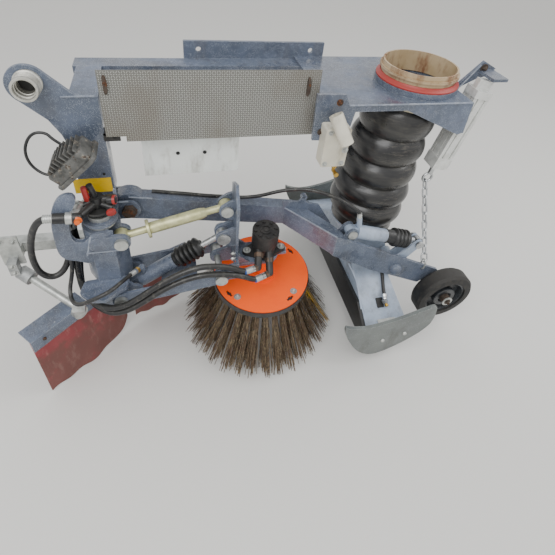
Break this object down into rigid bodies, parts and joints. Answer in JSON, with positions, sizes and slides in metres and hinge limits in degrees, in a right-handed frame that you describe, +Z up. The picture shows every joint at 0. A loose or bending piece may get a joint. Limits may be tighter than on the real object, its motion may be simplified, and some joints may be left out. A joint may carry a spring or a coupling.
{
  "type": "street sweeper side sweep unit",
  "caption": "Side sweep unit of a street sweeper: swinging gutter brush on a parallel linkage, trailing suction nozzle with gauge wheel, hose and carrier that bolts to a chassis rail.",
  "frame": {"origin": "centre of the four chassis bolts, on the back face of the mounting plate", "axes": "+X to the rear of the vehicle, +Y inboard into the chassis rail, +Z up"},
  "size_m": [1.752, 0.872, 1.105],
  "materials": {
    "frame_paint": "slate blue-grey paint, worn at the edges",
    "light_paint": "light grey-blue paint, scratched",
    "skirt_paint": "grey raised-pattern sheet",
    "white_paint": "white paint, dirty",
    "zinc": "zinc plated steel, dull",
    "steel": "bright steel",
    "rusty_steel": "rusty cast iron",
    "cast_alloy": "as cast",
    "ram_alloy": "anodised",
    "lamp_body": "grey, muddy",
    "black_rubber": "matt black",
    "tyre": "worn, dusty",
    "red_rubber": "faded red, dirty",
    "orange_disc": "orange, wet",
    "black_plastic": "black",
    "bristle": "brown flat wire",
    "skid_metal": "scuffed grey-green",
    "duct_paint": "cream paint, rusty",
    "seal_red": "red rubber"
  },
  "bodies": {
    "carrier": {"carrier_rail": "frame_paint", "hanger_column": "frame_paint", "king_bracket": "frame_paint", "king_upper_lug": "frame_paint", "king_pin": "zinc", "pivot_bolt": "rusty_steel", "fill_coupling": "zinc", "work_lamp": "lamp_body", "skirt_panel": "skirt_paint", "skirt_brackets": "frame_paint", "splash_plate": "white_paint", "hose_frame": "frame_paint", "duct_stub": "duct_paint", "duct_seal": "seal_red", "suction_hose": "black_rubber", "lift_barrel": "ram_alloy", "valve_box": "white_paint", "stay_bracket": "frame_paint", "stay_clamp": "cast_alloy", "stay_rod": "zinc", "curtain_rail": "frame_paint", "front_curtain": "red_rubber", "rear_curtain": "red_rubber", "rear_curtain_rail": "frame_paint", "lamp_cable": "black_rubber"},
    "king_post": {"king_post": "frame_paint", "thrust_disc": "zinc", "post_pins": "zinc", "hose_swivel": "black_plastic", "motor_hoses": "black_rubber", "lift_hose": "black_rubber", "loop_hose": "black_rubber"},
    "lower_arm": {"lower_arm": "frame_paint"},
    "tie_rod": {"tie_rod": "zinc"},
    "brush_head": {"brush_head": "frame_paint", "head_pins": "zinc", "brush_motor": "rusty_steel"},
    "brush_lift_barrel": {"brush_lift_barrel": "frame_paint", "brush_lift_gaiter": "black_rubber"},
    "brush_lift_rod": {"brush_lift_rod": "steel"},
    "brush": {"brush_disc": "orange_disc", "brush_base": "black_plastic", "brush_bristles": "bristle"},
    "trailing_arm": {"trailing_arm": "frame_paint", "wheel_axle": "rusty_steel", "tilt_base_pin": "zinc", "quick_link": "zinc", "tilt_hose": "black_rubber"},
    "wheel": {"wheel_tyre": "tyre", "wheel_hub": "light_paint"},
    "nozzle": {"nozzle_body": "light_paint", "nozzle_pivot_bolt": "zinc", "skid_outer": "skid_metal", "skid_inner": "skid_metal", "front_strip": "black_rubber"},
    "tilt_barrel": {"tilt_barrel": "light_paint", "tilt_gaiter": "black_rubber"},
    "tilt_rod": {"tilt_rod": "steel"},
    "lift_rod": {"lift_rod": "steel", "lift_chain": "steel"}
  },
  "joints": [
    {"name": "brush_swing", "type": "hinge", "parent": "carrier", "child": "king_post", "pos_m": [-0.542, -0.417, -0.465], "axis": [0, 0, -1], "range_deg": [0, 28], "deforming": ["loop_hose"]},
    {"name": "brush_lift", "type": "hinge", "parent": "king_post", "child": "lower_arm", "pos_m": [-0.517, -0.417, -0.566], "axis": [0, -1, 0], "range_deg": [-6, 14], "deforming": ["motor_hoses", "lift_hose"]},
    {"name": "tie_rod_pivot", "type": "hinge", "parent": "king_post", "child": "tie_rod", "pos_m": [-0.488, -0.443, -0.341], "axis": [0, -1, 0], "range_deg": [-6.1, 14.1]},
    {"name": "head_pivot", "type": "hinge", "parent": "lower_arm", "child": "brush_head", "pos_m": [-0.186, -0.417, -0.517], "axis": [0, -1, 0], "range_deg": [-14.1, 6.1]},
    {"name": "lift_barrel_pivot", "type": "hinge", "parent": "king_post", "child": "brush_lift_barrel", "pos_m": [-0.473, -0.432, -0.57], "axis": [0, -1, 0], "range_deg": [-5.3, 12.1]},
    {"name": "lift_rod_slide", "type": "slide", "parent": "brush_lift_barrel", "child": "brush_lift_rod", "axis": [0.8482, 0, 0.5297], "range_m": [-0.0139, 0.0322], "deforming": ["brush_lift_gaiter"]},
    {"name": "brush_spin", "type": "hinge", "parent": "brush_head", "child": "brush", "pos_m": [-0.017, -0.415, -0.616], "axis": [-0.0226, -0.0837, 0.9962], "continuous": true},
    {"name": "arm_lift", "type": "hinge", "parent": "carrier", "child": "trailing_arm", "pos_m": [-0.463, -0.305, -0.314], "axis": [0, -1, 0], "range_deg": [-3.5, 0.8], "deforming": ["suction_hose", "lift_chain"]},
    {"name": "wheel_spin", "type": "hinge", "parent": "trailing_arm", "child": "wheel", "pos_m": [0.752, -0.54, -0.747], "axis": [0, -1, 0], "continuous": true},
    {"name": "nozzle_tilt", "type": "hinge", "parent": "trailing_arm", "child": "nozzle", "pos_m": [0.516, -0.452, -0.608], "axis": [0, 1, 0], "range_deg": [-3, 6], "deforming": ["tilt_hose"]},
    {"name": "tilt_barrel_pivot", "type": "hinge", "parent": "trailing_arm", "child": "tilt_barrel", "pos_m": [0.295, -0.446, -0.414], "axis": [0, -1, 0], "range_deg": [-10, 10]},
    {"name": "tilt_rod_slide", "type": "slide", "parent": "tilt_barrel", "child": "tilt_rod", "axis": [0.9559, 0, -0.2936], "range_m": [-0.02, 0.02], "deforming": ["tilt_gaiter"]},
    {"name": "lift_rod_travel", "type": "slide", "parent": "carrier", "child": "lift_rod", "axis": [0.1936, 0, 0.9811], "range_m": [-0.0723, 0.0166]}
  ],
  "couplings": [
    {"joint": "tie_rod_pivot", "follows": "brush_lift", "ratio": 1},
    {"joint": "head_pivot", "follows": "brush_lift", "ratio": -1},
    {"joint": "lift_barrel_pivot", "follows": "brush_lift", "ratio": 0.855},
    {"joint": "lift_rod_slide", "follows": "brush_lift", "m_per_rad": 0.1306},
    {"joint": "tilt_barrel_pivot", "follows": "nozzle_tilt", "ratio": -0.1683},
    {"joint": "tilt_rod_slide", "follows": "nozzle_tilt", "m_per_rad": 0.1193},
    {"joint": "lift_rod_travel", "follows": "arm_lift", "m_per_rad": 1.17}
  ]
}
